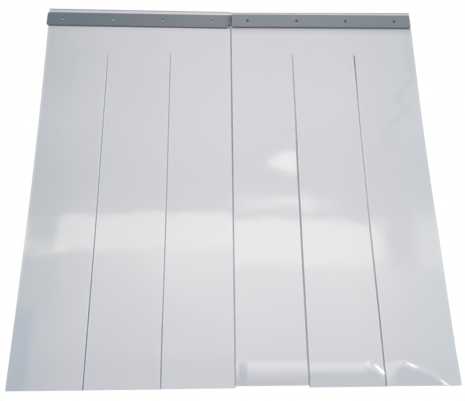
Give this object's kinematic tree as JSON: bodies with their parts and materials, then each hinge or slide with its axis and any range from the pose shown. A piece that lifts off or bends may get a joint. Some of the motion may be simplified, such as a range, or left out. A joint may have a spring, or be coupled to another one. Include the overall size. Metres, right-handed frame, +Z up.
{
  "type": "pvc strip curtain",
  "caption": "Clear PVC strip curtain: two slit sheets riveted between a flat back rail and grey front bars, with free swinging strips for a doorway.",
  "frame": {"origin": "on the back rail's rear face, the face that goes against the wall or lintel, midway along it and 13 mm above its lower edge", "axes": "+X along the curtain's width, +Z up, the front faces -Y"},
  "size_m": [1.2032, 0.0158, 1.2075],
  "materials": {
    "grey_bar": "satin grey coat",
    "grey_rail": "satin grey coat",
    "clear_pvc": "clear, glossy, faintly blue-grey",
    "rivet_aluminium": "dull",
    "mandrel_steel": "dark, broken end"
  },
  "bodies": {
    "root": {"back_rail": "grey_rail", "left_front_bar": "grey_bar", "left_sheet_header": "clear_pvc", "left_rivet_1": "rivet_aluminium", "left_mandrel_1": "mandrel_steel", "left_rivet_2": "rivet_aluminium", "left_mandrel_2": "mandrel_steel", "left_rivet_3": "rivet_aluminium", "left_mandrel_3": "mandrel_steel", "left_rivet_4": "rivet_aluminium", "left_mandrel_4": "mandrel_steel", "right_front_bar": "grey_bar", "right_sheet_header": "clear_pvc", "right_rivet_1": "rivet_aluminium", "right_mandrel_1": "mandrel_steel", "right_rivet_2": "rivet_aluminium", "right_mandrel_2": "mandrel_steel", "right_rivet_3": "rivet_aluminium", "right_mandrel_3": "mandrel_steel", "right_rivet_4": "rivet_aluminium", "right_mandrel_4": "mandrel_steel"},
    "left_strip_outer": {"left_strip_outer": "clear_pvc"},
    "left_strip_middle": {"left_strip_middle": "clear_pvc"},
    "left_strip_inner": {"left_strip_inner": "clear_pvc"},
    "right_strip_outer": {"right_strip_outer": "clear_pvc"},
    "right_strip_middle": {"right_strip_middle": "clear_pvc"},
    "right_strip_inner": {"right_strip_inner": "clear_pvc"}
  },
  "joints": [
    {"name": "left_strip_outer_swing", "type": "hinge", "parent": "root", "child": "left_strip_outer", "pos_m": [-0.50025, -0.0073, -0.129], "axis": [1, 0, 0], "range_deg": [-85, 85]},
    {"name": "left_strip_middle_swing", "type": "hinge", "parent": "root", "child": "left_strip_middle", "pos_m": [-0.2979, -0.0073, -0.129], "axis": [1, 0, 0], "range_deg": [-85, 85]},
    {"name": "left_strip_inner_swing", "type": "hinge", "parent": "root", "child": "left_strip_inner", "pos_m": [-0.09785, -0.0073, -0.129], "axis": [1, 0, 0], "range_deg": [-85, 85]},
    {"name": "right_strip_outer_swing", "type": "hinge", "parent": "root", "child": "right_strip_outer", "pos_m": [0.50025, -0.0073, -0.129], "axis": [1, 0, 0], "range_deg": [-85, 85]},
    {"name": "right_strip_middle_swing", "type": "hinge", "parent": "root", "child": "right_strip_middle", "pos_m": [0.2979, -0.0073, -0.129], "axis": [1, 0, 0], "range_deg": [-85, 85]},
    {"name": "right_strip_inner_swing", "type": "hinge", "parent": "root", "child": "right_strip_inner", "pos_m": [0.09785, -0.0073, -0.129], "axis": [1, 0, 0], "range_deg": [-85, 85]}
  ]
}
